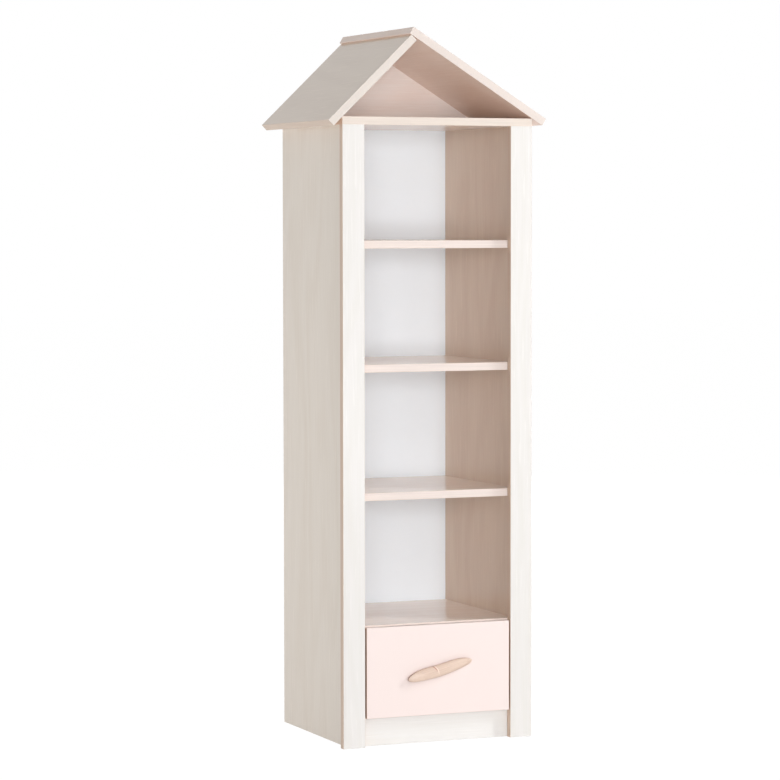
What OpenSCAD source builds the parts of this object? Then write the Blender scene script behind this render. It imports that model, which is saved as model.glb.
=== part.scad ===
// House-shaped bookcase for a child's room, in millimetres.
// A tall narrow cabinet of 18 mm melamine board stands on a plinth. It has four open compartments,
// a drawer on roller runners with a leaf-shaped wooden handle, and a lopsided gable roof.
// X runs to the right, Y to the back and Z up. The origin is on the floor, in the middle of the
// whole object's bounding box.

/* [Cabinet] */
// Width over the front stiles
body_w = 475; // [440:1:560]
// Depth from the stile faces to the rear edges
depth = 427; // [420:1:480]
// Height of the top board's upper face
cabinet_h = 1445; // [1380:1:1600]
// Thickness of the melamine boards
board_t = 18; // [16:0.5:20]
// Chamfer that eases the banded edges
edge_ease = 0.8; // [0.4:0.1:1.2]

/* [Front stiles] */
// Width of each front stile
stile_w = 54; // [50:1:64]
// Thickness of each front stile
stile_t = 18; // [16:0.5:22]
// Number of dowels along each stile
stile_dowel_count = 5; // [4:1:7]
// Distance of the end dowels from a stile's ends
stile_dowel_inset = 60; // [40:1:80]
// Setback of the shelves and the plinth behind the stiles
front_setback = 2; // [1:0.5:6]

/* [Shelves] */
// Height of the upper face of the fixed board over the drawer
drawer_board_z = 279; // [270:1:300]
// Height of the lower shelf's upper face
lower_shelf_z = 584; // [540:1:620]
// Height of the middle shelf's upper face
middle_shelf_z = 879; // [840:1:920]
// Height of the upper shelf's upper face
upper_shelf_z = 1163; // [1120:1:1200]

/* [Plinth and back] */
// Height of the plinth, where the bottom board lies
plinth_h = 72; // [60:1:80]
// Distance of the plinth's dowels from its upper and lower edges
plinth_dowel_inset = 20; // [15:0.5:24]
// Distance of the rear plinth from the back panel
rear_plinth_inset = 20; // [5:1:60]
// Thickness of the hardboard back panel
back_t = 3; // [2.5:0.5:5]
// Distance of the back panel from the rear edges
back_inset = 8; // [5:1:15]
// Depth of the grooves that hold the back panel
back_groove = 6; // [4:0.5:8]

/* [Roof] */
// Pitch of the left roof panel in degrees
left_pitch = 43.8; // [40:0.2:48]
// Pitch of the right roof panel in degrees
right_pitch = 31.6; // [28:0.2:35]
// Reach of both eaves beyond the top board
eave_reach = 34.7; // [28:0.1:50]
// Reach of the right panel past the left one at the ridge
ridge_lap = 5; // [3:0.5:12]
// Reach of the roof in front of the stiles
roof_front_reach = 3; // [0:0.5:10]
// Setback of the gable board behind the stile faces
gable_setback = 319; // [250:1:330]
// Height at which the gable board's thin tips are cut off
gable_tip_h = 9; // [6:1:14]
// Distance of the end dowels from the ends of the ridge joint
ridge_dowel_inset = 30; // [20:1:60]
// Distance of the gable board's left dowel from the middle
gable_dowel_left = 142; // [60:1:150]
// Distance of the gable board's right dowel from the middle
gable_dowel_right = 130; // [60:1:150]

/* [Drawer] */
// Gap between the drawer front and each stile
front_gap = 3.5; // [2:0.5:4]
// Distance of the drawer front's top edge below the fixed board's upper face
front_reveal = 3; // [2:0.5:6]
// Distance that the drawer front hangs below the bottom board
front_drop = 6; // [2:0.5:10]
// Thickness of the drawer front
drawer_front_t = 18; // [16:0.5:18]
// Thickness of the drawer's sides and back
drawer_side_t = 12; // [10:0.5:15]
// Height of the drawer's sides
drawer_side_h = 135; // [110:1:140]
// Thickness of the drawer bottom
drawer_bottom_t = 3; // [2.5:0.5:5]
// Height of the drawer bottom above the sides' lower edges
drawer_bottom_lift = 10; // [8:1:15]
// Depth of the grooves that hold the drawer bottom
bottom_groove = 5; // [3:0.5:6]
// Gap between the drawer bottom's edges and the ends of its grooves
bottom_play = 0.5; // [0.3:0.1:1]
// Distance of the drawer's dowels from the sides' upper and lower edges
drawer_dowel_inset = 28; // [25:1:35]
// Distance that the drawer opens
drawer_travel = 265; // [220:1:270]

/* [Roller runners] */
// Space between a packer and the drawer's side
runner_space = 12.5; // [12.5:0.1:13.5]
// Length of each runner member
runner_l = 350; // [330:1:360]
// Thickness of the runners' sheet steel
sheet_t = 1.2; // [1:0.1:1.4]
// Width of the cabinet member's channel
channel_w = 10; // [9.6:0.1:10.2]
// Height of the channel's lips above its flanges
lip_h = 3; // [2:0.1:4]
// Height of the cabinet member above the bottom board
runner_lift = 8; // [6:0.5:12]
// Height of the drawer's lower edge above the cabinet member's lower edge
drawer_seat = 10; // [9.5:0.1:10.2]
// Width of the flange under the drawer's side
seat_flange_w = 11; // [9:0.5:12]
// Diameter of the nylon rollers
roller_d = 23; // [22:0.2:24]
// Radial width of the rims beside the rollers' recesses
roller_rim_w = 2.2; // [1.8:0.1:3]
// Chamfer on the rollers' treads
tread_ease = 0.6; // [0.3:0.1:0.8]
// Gap between a roller and the channel on each side
roller_side_gap = 0.7; // [0.5:0.05:0.8]
// Running gap between a roller and its track
roll_gap = 0.3; // [0.2:0.05:0.4]
// Gap above the rear roller inside the channel
roller_top_gap = 0.5; // [0.4:0.1:0.8]
// Height that the front roller stands above the channel
roller_proud = 0.8; // [0.6:0.1:1.2]
// Diameter of the roller pins
pin_d = 5; // [4.5:0.1:5.5]
// Diameter of the roller pins' heads
pin_head_d = 8; // [7.5:0.1:9]
// Thickness of the roller pins' heads
pin_head_t = 0.9; // [0.7:0.1:1]
// Radial clearance of the rollers on their pins
pin_clearance = 0.05; // [0.02:0.01:0.1]
// Distance of the front roller behind the cabinet member's front end
front_roller_inset = 14; // [13:0.5:18]
// Height of the tab that stops the drawer
stop_h = 3; // [2:0.1:4]
// Gap between a roller and a stop at either end of the travel
stop_gap = 0.5; // [0.3:0.1:1]
// Distance of the end screws from the cabinet member's ends
runner_screw_inset = 50; // [45:1:60]
// Distance of the screws from the drawer member's ends
seat_screw_inset = 75; // [60:1:90]
// Depth of those screws in the drawer's side
seat_screw_grip = 9; // [7:0.5:10]

/* [Packers] */
// Height of the packer boards that carry the runners
packer_h = 70; // [60:1:80]
// Gap between the packer boards and the back panel
packer_rear_gap = 26; // [5:1:40]
// Height of the packer screws above the packer's lower edge
packer_screw_z = 54; // [48:1:56]
// Distance of the end screws from a packer's ends
packer_screw_inset = 30; // [20:1:50]

/* [Handle] */
// Length of the leaf-shaped handle
handle_l = 165; // [130:1:180]
// Width of the handle
handle_w = 27.5; // [22:0.5:32]
// Fullness of the leaf's outline: 2 is an ellipse, and more is blunter
handle_fullness = 3; // [2:0.1:4]
// Share by which the leaf narrows to the right and widens to the left
handle_taper = 0.07; // [0:0.01:0.2]
// Height of the wave in the leaf's middle line
handle_wave = 0.8; // [0:0.1:2]
// Thickness of the handle at its middle
handle_t = 12; // [9:0.5:15]
// Thickness of the handle along its rim
handle_rim_t = 5; // [3:0.5:6]
// Share of the rim's thickness that is left at the tips
tip_rim_share = 0.55; // [0.4:0.05:0.8]
// Fingertip gap between the handle and the drawer front
handle_gap = 6; // [4:0.5:20]
// Tilt of the handle in degrees, right end up
handle_tilt = 13.4; // [0:0.2:20]
// Distance between the handle's posts
post_spacing = 96; // [64:1:110]
// Diameter of the handle's posts
post_d = 12; // [9:0.5:14]
// Radius of the crescent groove across the handle
crescent_r = 22; // [18:0.5:26]
// Distance of the crescent's right edge from the handle's middle
crescent_shift = 10; // [6:0.5:16]
// Width of the crescent groove
crescent_w = 2.4; // [1.6:0.1:3]
// Height of the crescent's centre below the handle's middle
crescent_drop = 2.7; // [0:0.1:5]
// Depth of the crescent groove
crescent_depth = 0.9; // [0.5:0.1:1.5]
// Wood left between the groove and the leaf's edge
crescent_edge = 1.4; // [1:0.1:3]
// Diameter of the handle's screws
handle_screw_d = 4; // [3.5:0.1:4.5]
// Diameter of those screws' heads
handle_head_d = 8; // [7:0.5:10]
// Height of those screws' heads
handle_head_h = 2.5; // [2:0.1:3]
// Wood left in front of those screws
handle_screw_cover = 4; // [3:0.5:5]

/* [Fittings] */
// Diameter of the wooden dowels
dowel_d = 8; // [6:0.5:8]
// Length of the wooden dowels
dowel_l = 30; // [26:1:35]
// Depth of a dowel in the face of a board
dowel_face_depth = 12; // [9:0.5:12]
// Diameter of the small dowels in the drawer
drawer_dowel_d = 6; // [5:0.5:6]
// Length of the small dowels in the drawer
drawer_dowel_l = 24; // [20:1:28]
// Depth of a small dowel in the face of a board
drawer_dowel_face_depth = 8; // [6:0.5:8]
// Gap around a dowel, screw or cam in its hole
fit_gap = 0.05; // [0.03:0.01:0.1]
// Diameter of the cam fittings
cam_d = 15; // [12:0.5:16]
// Thickness of the cam fittings
cam_t = 12.5; // [11:0.5:13]
// Distance of a cam's centre from the board's end
cam_inset = 24; // [22:1:34]
// Distance of the cams from a board's front and rear edges
cam_edge = 55; // [40:1:70]
// Diameter of the cam bolts
cam_bolt_d = 6.5; // [5:0.5:7]
// Depth of a cam bolt in the side panel
cam_bolt_depth = 11; // [8:0.5:12]
// Diameter of the panel screws
panel_screw_d = 6.5; // [5:0.5:7]
// Length of the panel screws
panel_screw_l = 50; // [45:1:60]
// Diameter of the panel screws' heads
panel_head_d = 10; // [9:0.5:12]
// Height of the panel screws' heads
panel_head_h = 4; // [3:0.5:5]
// Distance of the end panel screws from the stiles and the back panel
panel_screw_inset = 40; // [30:1:60]
// Diameter of the small screws
small_screw_d = 4; // [3.5:0.1:4.2]
// Length of the small screws
small_screw_l = 14; // [12:0.5:15]
// Diameter of the small screws' round heads
small_head_d = 7; // [6:0.5:8]
// Height of the small screws' round heads
small_head_h = 1.6; // [1.2:0.1:2.2]
// Diameter of the packer screws' countersunk heads
packer_head_d = 7.5; // [7:0.1:8]
// Height of the packer screws' countersunk heads
packer_head_h = 2.5; // [2:0.1:3]
// Depth of the packer and runner screws in the boards behind
board_screw_grip = 12; // [10:0.5:14]
// Thickness of the steel brackets
bracket_t = 2; // [1.5:0.1:3]

/* [Wall brackets] */
// Distance between the two wall brackets
wall_bracket_spacing = 160; // [100:1:200]
// Width of a wall bracket
wall_bracket_w = 30; // [25:1:40]
// Length of a wall bracket's leg on the top board
wall_bracket_foot = 40; // [32:1:60]
// Height of a wall bracket's upright leg
wall_bracket_h = 48; // [40:1:70]
// Height of the wall screw's hole above the top board
wall_hole_z = 32; // [25:1:36]
// Diameter of the wall screw's hole
wall_hole_d = 5.5; // [4.5:0.1:6.5]
// Distance of the foot's rear screw from the wall
foot_screw_rear = 13; // [11:0.5:16]
// Distance of the foot's front screw from the wall
foot_screw_front = 28; // [24:0.5:36]

/* [Roof brackets] */
// Width of a roof bracket along the slope
roof_bracket_w = 24; // [20:1:36]
// Length of each leg of a roof bracket
roof_bracket_leg = 30; // [24:1:40]
// Distance of a roof bracket's screws from its corner
roof_bracket_hole = 18; // [14:0.5:22]
// Distance of each slope's lower bracket from the eave corner
roof_bracket_low = 75; // [50:1:100]
// Distance of each slope's upper bracket from the eave corner
roof_bracket_high = 195; // [150:1:210]

/* [Hidden] */
$fn = 48;
eps = 0.01;
over = 1; // length that cuts run past a face
socket_share = 0.6; // length of a screw's or cam's slot, by its head's diameter
slot_share = 0.14; // width of that slot
ring_count = 25; // cross-sections along the leaf
ring_steps = 14; // facets over the leaf's crown
tip_cut = 3; // angle at which the leaf's tips are cut off, of a half circle over its length
crescent_start = -12; // angle where the crescent starts
wave_turn = 288; // angle that the middle line's wave runs through from the middle to a tip
LEFT = -1;
RIGHT = 1;

// Colours
WHITEWASH = [0.93, 0.90, 0.86];
STILE_WHITE = [0.95, 0.94, 0.92];
BACK_WHITE = [0.93, 0.93, 0.94];
PINK = [0.98, 0.91, 0.89];
BEECH = [0.88, 0.77, 0.69];
RAW_WOOD = [0.80, 0.68, 0.52];
STEEL = [0.70, 0.71, 0.73];
RUNNER_CREAM = [0.88, 0.87, 0.84];
NYLON = [0.92, 0.92, 0.90];

// Cabinet faces, measured from the middle in X and from the stile faces in Y
half_w = body_w / 2;
side_out = half_w - (stile_w - board_t) / 2;
side_in = side_out - board_t;
opening_half = half_w - stile_w;
inner_front = stile_t + front_setback;
side_mid = (side_in + side_out) / 2;
back_front = depth - back_inset - back_t;
under_top = cabinet_h - board_t;
bottom_top = plinth_h + board_t;
under_drawer_board = drawer_board_z - board_t;
handle_reach = handle_gap + handle_t;
front_y = (handle_reach - depth) / 2;

// Fixed boards by the height of their upper faces, and the rows of fittings along them
fixed_boards = [bottom_top, drawer_board_z, lower_shelf_z, middle_shelf_z, upper_shelf_z];
cam_rows = [inner_front + cam_edge, back_front - cam_edge];
dowel_edge_depth = dowel_l - dowel_face_depth;
stile_dowel_step = (under_top - 2 * stile_dowel_inset) / (stile_dowel_count - 1);
stile_dowel_zs = [for (i = [0:stile_dowel_count - 1]) stile_dowel_inset + i * stile_dowel_step];
plinth_dowel_zs = [plinth_dowel_inset, plinth_h - plinth_dowel_inset];
plinth_rear_y = back_front - rear_plinth_inset - board_t;
plinth_rows = [inner_front + board_t / 2, plinth_rear_y + board_t / 2];
top_screw_rows = [stile_t + panel_screw_inset, depth / 2, back_front - panel_screw_inset];
bracket_grip = small_screw_l - bracket_t;
wall_bracket_xs = [-wall_bracket_spacing / 2, wall_bracket_spacing / 2];
foot_screw_ys = [depth - foot_screw_rear, depth - foot_screw_front];

// Roof lines in the XZ plane: each panel's underside passes through an upper edge of the top board
function along(pitch, d) = [d * cos(pitch), d * sin(pitch)];
function across(pitch, d) = [-d * sin(pitch), d * cos(pitch)];
left_eave_l = (eave_reach - board_t * sin(left_pitch)) / cos(left_pitch);
right_eave_l = (eave_reach - board_t * sin(right_pitch)) / cos(right_pitch);
// Distance up a slope from its eave corner to a line's meeting with the other slope's underside
function up_left(lift) = let (p = [-half_w, cabinet_h] + across(left_pitch, lift))
    ((half_w - p.x) * tan(right_pitch) - (p.y - cabinet_h))
    / (sin(left_pitch) + cos(left_pitch) * tan(right_pitch));
left_slope_l = up_left(board_t);
ridge_meet = [-half_w, cabinet_h] + along(left_pitch, left_slope_l) + across(left_pitch, board_t);
right_slope_l = norm([half_w, cabinet_h] - ridge_meet) + ridge_lap;
apex = [-half_w, cabinet_h] + along(left_pitch, up_left(0));
gable_rear = gable_setback + board_t;
gable_mid = gable_setback + board_t / 2;
ridge_dowel_rows = [ridge_dowel_inset, depth / 3, depth * 2 / 3, depth - ridge_dowel_inset];
gable_dowel_xs = [-gable_dowel_left, 0, gable_dowel_right];
roof_bracket_xs = [roof_bracket_low, roof_bracket_high];

// Runners: u runs from the packer's face to the drawer, v up from the cabinet member's lower edge
packer_face = opening_half;
packer_t = side_in - packer_face;
drawer_out = packer_face - runner_space;
runner_z = bottom_top + runner_lift;
drawer_z = runner_z + drawer_seat;
roller_r = roller_d / 2;
roller_w = channel_w - 2 * sheet_t - 2 * roller_side_gap;
roller_u = sheet_t + roller_side_gap;
flange_reach = 0.4;
channel_h = 2 * sheet_t + roll_gap + roller_d + roller_top_gap;
rear_axle_v = sheet_t + roll_gap + roller_r;
front_axle_v = channel_h + roller_proud - roller_r;
flange_v = channel_h + roller_proud + roll_gap;
web_u = runner_space - sheet_t;
flange_u = roller_u - flange_reach;
runner_y = inner_front;
drawer_runner_y = drawer_front_t;
front_roller_y = runner_y + front_roller_inset;
rear_roller_y = runner_y + runner_l - sheet_t - stop_gap - roller_r;
stop_reach = sqrt(pow(roller_r, 2) - pow(roller_r - stop_h + roll_gap, 2)) + stop_gap;
stop_y = rear_roller_y - drawer_travel - stop_reach;
runner_screw_ys = [
    runner_y + runner_screw_inset, runner_y + runner_l / 2, runner_y + runner_l - runner_screw_inset
];
runner_head_d = small_screw_d + 3;
runner_head_h = sheet_t - 0.2;
seat_screw_ys = [drawer_runner_y + seat_screw_inset, drawer_runner_y + runner_l - seat_screw_inset];
seat_screw_v = drawer_seat + drawer_bottom_lift / 2;
seat_head_d = small_head_d - 1;
seat_head_h = small_head_h - 0.2;
recess_t = pin_head_t + 0.6;
recess_draft = 0.8;

// Packers
packer_rear = back_front - packer_rear_gap;
packer_screw_ys = [
    stile_t + packer_screw_inset, (stile_t + packer_rear) / 2, packer_rear - packer_screw_inset
];
packer_screw_height = bottom_top + packer_screw_z;

// Drawer
front_half = opening_half - front_gap;
front_z0 = plinth_h - front_drop;
front_z1 = drawer_board_z - front_reveal;
drawer_in = drawer_out - drawer_side_t;
drawer_rear = drawer_runner_y + runner_l;
drawer_side_x = drawer_out - drawer_side_t / 2;
drawer_back_y = drawer_rear - drawer_side_t / 2;
bottom_z = drawer_z + drawer_bottom_lift;
drawer_dowel_zs = [drawer_z + drawer_dowel_inset, drawer_z + drawer_side_h - drawer_dowel_inset];
drawer_dowel_edge_depth = drawer_dowel_l - drawer_dowel_face_depth;

// Handle
handle_z = (front_z0 + front_z1) / 2;
post_xs = [-post_spacing / 2, post_spacing / 2];
handle_screw_grip = handle_t - handle_screw_cover;
crescent_top = handle_w / 2 - crescent_edge + crescent_drop;
crescent_sweep = asin(crescent_top / (crescent_r + crescent_w / 2)) - crescent_start;

// Points of a rectangle of size a by b with its corners cut at 45 degrees
function eased(a, b, c) = [
    [c, 0], [a - c, 0], [a, c], [a, b - c], [a - c, b], [c, b], [0, b - c], [0, c]
];

// A board from corner p to corner q, with its long edges eased along one axis
module board(p, q, axis) {
    s = q - p;
    translate(p) {
        if (axis == "x") rotate([90, 0, 90]) linear_extrude(s.x) polygon(eased(s.y, s.z, edge_ease));
        if (axis == "y") translate([0, s.y, 0]) rotate([90, 0, 0])
            linear_extrude(s.y) polygon(eased(s.x, s.z, edge_ease));
        if (axis == "z") linear_extrude(s.z) polygon(eased(s.x, s.y, edge_ease));
    }
}

// A plain block from corner p to corner q
module block(p, q) {
    translate(p) cube(q - p);
}

// Cylinders along X and Y, starting at p
module rod_x(p, d, l) {
    translate(p) rotate([0, 90, 0]) cylinder(d = d, h = l);
}

module rod_y(p, d, l) {
    translate(p) rotate([-90, 0, 0]) cylinder(d = d, h = l);
}

module rod_z(p, d, l) {
    translate(p) cylinder(d = d, h = l);
}

function turn_to(dir) = dir == "+x" ? [0, 90, 0] : dir == "-x" ? [0, -90, 0] : dir == "+y" ? [-90, 0, 0]
    : dir == "-y" ? [90, 0, 0] : dir == "+z" ? [0, 0, 0] : [180, 0, 0];

// A hole for a piece of diameter d that goes in at p on a face, along dir, to depth l
module bore(p, dir, d, l) {
    translate(p) rotate(turn_to(dir)) translate([0, 0, -over])
        cylinder(d = d + 2 * fit_gap, h = over + l + fit_gap);
}

// A countersunk screw along +Z: its flat face is at z = 0 and its shank runs down
module flat_screw(d, l, head_d, head_h) {
    difference() {
        union() {
            translate([0, 0, -head_h]) cylinder(d1 = d, d2 = head_d, h = head_h);
            translate([0, 0, -l]) cylinder(d = d, h = l - head_h + eps);
        }
        translate([0, 0, -head_h * socket_share]) cylinder(d = d * socket_share, h = head_h, $fn = 6);
    }
}

// The room that a countersunk screw's head needs, placed as flat_screw is
module countersink(d, head_d, head_h) {
    translate([0, 0, -head_h - fit_gap])
        cylinder(d1 = d + 2 * fit_gap, d2 = head_d + 2 * fit_gap, h = head_h + 2 * fit_gap);
}

// A cross slot of overall length l about the origin
module cross_slot(l, w, h) {
    cube([l, w, h], center = true);
    cube([w, l, h], center = true);
}

// A round-headed screw along +Z: its head stands on z = 0 and its shank runs down
module pan_screw(d, l, head_d, head_h) {
    difference() {
        union() {
            cylinder(d1 = head_d, d2 = head_d * 0.8, h = head_h);
            translate([0, 0, -l]) cylinder(d = d, h = l + eps);
        }
        translate([0, 0, head_h]) cross_slot(head_d * socket_share, head_d * slot_share, head_h);
    }
}

// Moves a piece from the stile faces to the origin in the middle of the bounding box
module placed() {
    translate([0, front_y, 0]) children();
}

// Puts a piece that is drawn on the left on either side
module on_side(side) {
    mirror([side == RIGHT ? 1 : 0, 0, 0]) children();
}

// ---- Carcass -------------------------------------------------------------------------------

// Holes in a side panel for cam bolts, dowels, panel screws and packer screws, drawn on the left
module side_panel_holes() {
    for (z = fixed_boards, y = cam_rows)
        bore([-side_in, y, z - board_t / 2], "-x", cam_bolt_d, cam_bolt_depth);
    for (z = stile_dowel_zs)
        bore([-side_mid, stile_t, z], "+y", dowel_d, dowel_edge_depth);
    for (z = plinth_dowel_zs, y = plinth_rows)
        bore([-side_in, y, z], "-x", dowel_d, dowel_face_depth);
    for (y = top_screw_rows)
        bore([-side_mid, y, under_top], "-z", panel_screw_d, panel_screw_l - board_t);
    for (y = packer_screw_ys)
        bore([-side_in, y, packer_screw_height], "-x", small_screw_d, board_screw_grip);
}

module side_panel(side) {
    placed() color(WHITEWASH) on_side(side) difference() {
        board([-side_out, stile_t, 0], [-side_in, depth, under_top], "z");
        block([-side_in - back_groove, back_front - fit_gap, -over],
            [-side_in + over, back_front + back_t + fit_gap, under_top + over]);
        side_panel_holes();
    }
}

module side_panel_left() {
    side_panel(LEFT);
}

module side_panel_right() {
    side_panel(RIGHT);
}

module front_stile(side) {
    placed() color(STILE_WHITE) on_side(side) difference() {
        board([-half_w, 0, 0], [-opening_half, stile_t, under_top], "z");
        for (z = stile_dowel_zs)
            bore([-side_mid, stile_t, z], "-y", dowel_d, dowel_face_depth);
    }
}

module front_stile_left() {
    front_stile(LEFT);
}

module front_stile_right() {
    front_stile(RIGHT);
}

module top_board() {
    placed() color(WHITEWASH) difference() {
        board([-half_w, 0, under_top], [half_w, depth, cabinet_h], "x");
        for (side = [LEFT, RIGHT], y = top_screw_rows) {
            bore([side * side_mid, y, under_top], "+z", panel_screw_d, board_t + over);
            translate([side * side_mid, y, cabinet_h]) countersink(panel_screw_d, panel_head_d, panel_head_h);
        }
        for (x = gable_dowel_xs)
            bore([x, gable_mid, cabinet_h], "-z", dowel_d, dowel_face_depth);
        for (x = wall_bracket_xs, y = foot_screw_ys)
            bore([x, y, cabinet_h], "-z", small_screw_d, bracket_grip);
    }
}

// A fixed board between the side panels, with a cam pocket and a bolt bore near each corner
module fixed_board(top_z, rear) {
    difference() {
        board([-side_in, inner_front, top_z - board_t], [side_in, rear, top_z], "x");
        for (side = [LEFT, RIGHT], y = cam_rows) {
            bore([side * (side_in - cam_inset), y, top_z - board_t], "+z", cam_d, cam_t);
            on_side(side) bore([-side_in, y, top_z - board_t / 2], "+x", cam_bolt_d, cam_inset);
        }
    }
}

module shelf_upper() {
    placed() color(WHITEWASH) fixed_board(upper_shelf_z, back_front);
}

module shelf_middle() {
    placed() color(WHITEWASH) fixed_board(middle_shelf_z, back_front);
}

module shelf_lower() {
    placed() color(WHITEWASH) fixed_board(lower_shelf_z, back_front);
}

module drawer_top_board() {
    placed() color(WHITEWASH) fixed_board(drawer_board_z, back_front);
}

module bottom_board() {
    placed() color(WHITEWASH) fixed_board(bottom_top, back_front);
}

// A plinth board between the side panels, with dowel holes in its ends
module plinth_board(y) {
    difference() {
        board([-side_in, y, 0], [side_in, y + board_t, plinth_h], "x");
        for (side = [LEFT, RIGHT], z = plinth_dowel_zs)
            on_side(side) bore([-side_in, y + board_t / 2, z], "+x", dowel_d, dowel_edge_depth);
    }
}

module plinth_front() {
    placed() color(STILE_WHITE) plinth_board(inner_front);
}

module plinth_rear() {
    placed() color(WHITEWASH) plinth_board(plinth_rear_y);
}

module back_panel() {
    placed() color(BACK_WHITE)
        block([-side_in - back_groove + fit_gap, back_front, plinth_h],
            [side_in + back_groove - fit_gap, back_front + back_t, under_top]);
}

// ---- Roof ----------------------------------------------------------------------------------

// Draws in a slope's own frame: x up the slope from the eave corner, z out of the underside
module on_slope(side) {
    on_side(side) translate([-half_w, 0, cabinet_h])
        rotate([0, side == LEFT ? -left_pitch : -right_pitch, 0]) children();
}

// Repeats a piece at the ridge dowels, where the left panel's upper end meets the right panel
module at_ridge_dowels() {
    on_slope(LEFT) for (y = ridge_dowel_rows)
        translate([left_slope_l, y, board_t / 2]) children();
}

module roof_bracket_holes(side) {
    on_slope(side) for (x = roof_bracket_xs)
        bore([x, gable_rear + roof_bracket_hole, 0], "+z", small_screw_d, bracket_grip);
}

module roof_panel_left() {
    placed() color(WHITEWASH) difference() {
        on_slope(LEFT) board([-left_eave_l, -roof_front_reach, 0], [left_slope_l, depth, board_t], "y");
        at_ridge_dowels() bore([0, 0, 0], "-x", dowel_d, dowel_edge_depth);
        roof_bracket_holes(LEFT);
    }
}

module roof_panel_right() {
    placed() color(WHITEWASH) difference() {
        on_slope(RIGHT) board([-right_eave_l, -roof_front_reach, 0], [right_slope_l, depth, board_t], "y");
        at_ridge_dowels() bore([0, 0, 0], "+x", dowel_d, dowel_face_depth);
        roof_bracket_holes(RIGHT);
    }
}

// The triangle between the two undersides, its thin tips and its apex cut off
module gable_outline() {
    left_tip = gable_tip_h / tan(left_pitch);
    right_tip = gable_tip_h / tan(right_pitch);
    crown = board_t / 2;
    polygon([
        [-half_w + left_tip, cabinet_h],
        [half_w - right_tip, cabinet_h],
        [half_w - right_tip, cabinet_h + gable_tip_h],
        [apex.x + crown / tan(right_pitch), apex.y - crown],
        [apex.x - crown / tan(left_pitch), apex.y - crown],
        [-half_w + left_tip, cabinet_h + gable_tip_h]
    ]);
}

module gable_board() {
    placed() color(WHITEWASH) difference() {
        translate([0, gable_rear, 0]) rotate([90, 0, 0]) linear_extrude(board_t) gable_outline();
        for (x = gable_dowel_xs)
            bore([x, gable_mid, cabinet_h], "+z", dowel_d, dowel_edge_depth);
        for (side = [LEFT, RIGHT])
            on_slope(side) for (x = roof_bracket_xs)
                bore([x, gable_rear, -roof_bracket_hole], "-y", small_screw_d, bracket_grip);
    }
}

// An angle bracket between the gable's rear face and a slope's underside
module roof_bracket() {
    difference() {
        union() {
            block([-roof_bracket_w / 2, gable_rear, -roof_bracket_leg],
                [roof_bracket_w / 2, gable_rear + bracket_t, 0]);
            block([-roof_bracket_w / 2, gable_rear, -bracket_t],
                [roof_bracket_w / 2, gable_rear + roof_bracket_leg, 0]);
        }
        bore([0, gable_rear, -roof_bracket_hole], "+y", small_screw_d, bracket_t + over);
        bore([0, gable_rear + roof_bracket_hole, 0], "-z", small_screw_d, bracket_t + over);
    }
}

module roof_brackets() {
    placed() color(STEEL) for (side = [LEFT, RIGHT], x = roof_bracket_xs)
        on_slope(side) translate([x, 0, 0]) roof_bracket();
}

module roof_bracket_screws() {
    placed() color(STEEL) for (side = [LEFT, RIGHT], x = roof_bracket_xs)
        on_slope(side) translate([x, 0, 0]) {
            translate([0, gable_rear + bracket_t, -roof_bracket_hole]) rotate([-90, 0, 0])
                pan_screw(small_screw_d, small_screw_l, small_head_d, small_head_h);
            translate([0, gable_rear + roof_bracket_hole, -bracket_t]) rotate([180, 0, 0])
                pan_screw(small_screw_d, small_screw_l, small_head_d, small_head_h);
        }
}

// ---- Fittings ------------------------------------------------------------------------------

// A cam with a cross slot in its face, standing in the underside of a fixed board
module cam() {
    slot_depth = 2;
    difference() {
        cylinder(d = cam_d, h = cam_t);
        cross_slot(cam_d * socket_share, cam_d * slot_share, 2 * slot_depth);
    }
}

module cam_fittings() {
    placed() color(STEEL) for (z = fixed_boards, side = [LEFT, RIGHT], y = cam_rows)
        translate([side * (side_in - cam_inset), y, z - board_t]) cam();
}

module cam_bolts() {
    bolt_l = cam_bolt_depth + cam_inset - cam_d / 2 - fit_gap;
    placed() color(STEEL) for (z = fixed_boards, side = [LEFT, RIGHT], y = cam_rows)
        on_side(side) rod_x([-side_in - cam_bolt_depth, y, z - board_t / 2], cam_bolt_d, bolt_l);
}

module stile_dowels() {
    placed() color(RAW_WOOD) for (side = [LEFT, RIGHT], z = stile_dowel_zs)
        rod_y([side * side_mid, stile_t - dowel_face_depth, z], dowel_d, dowel_l);
}

module plinth_dowels() {
    placed() color(RAW_WOOD) for (side = [LEFT, RIGHT], z = plinth_dowel_zs, y = plinth_rows)
        on_side(side) rod_x([-side_in - dowel_face_depth, y, z], dowel_d, dowel_l);
}

module roof_dowels() {
    placed() color(RAW_WOOD) {
        at_ridge_dowels() rod_x([-dowel_edge_depth, 0, 0], dowel_d, dowel_l);
        for (x = gable_dowel_xs)
            rod_z([x, gable_mid, cabinet_h - dowel_face_depth], dowel_d, dowel_l);
    }
}

module top_board_screws() {
    placed() color(STEEL) for (side = [LEFT, RIGHT], y = top_screw_rows)
        translate([side * side_mid, y, cabinet_h])
            flat_screw(panel_screw_d, panel_screw_l, panel_head_d, panel_head_h);
}

// ---- Wall brackets -------------------------------------------------------------------------

// A steel angle on the top board, its upright leg flat against the wall
module wall_bracket() {
    arc_z = cabinet_h + wall_bracket_h - wall_bracket_w / 2;
    difference() {
        union() {
            block([-wall_bracket_w / 2, depth - wall_bracket_foot, cabinet_h],
                [wall_bracket_w / 2, depth, cabinet_h + bracket_t]);
            block([-wall_bracket_w / 2, depth - bracket_t, cabinet_h], [wall_bracket_w / 2, depth, arc_z]);
            rod_y([0, depth - bracket_t, arc_z], wall_bracket_w, bracket_t);
        }
        rod_y([0, depth - bracket_t - over, cabinet_h + wall_hole_z], wall_hole_d, bracket_t + 2 * over);
        for (y = foot_screw_ys)
            bore([0, y, cabinet_h], "+z", small_screw_d, bracket_t + over);
    }
}

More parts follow.
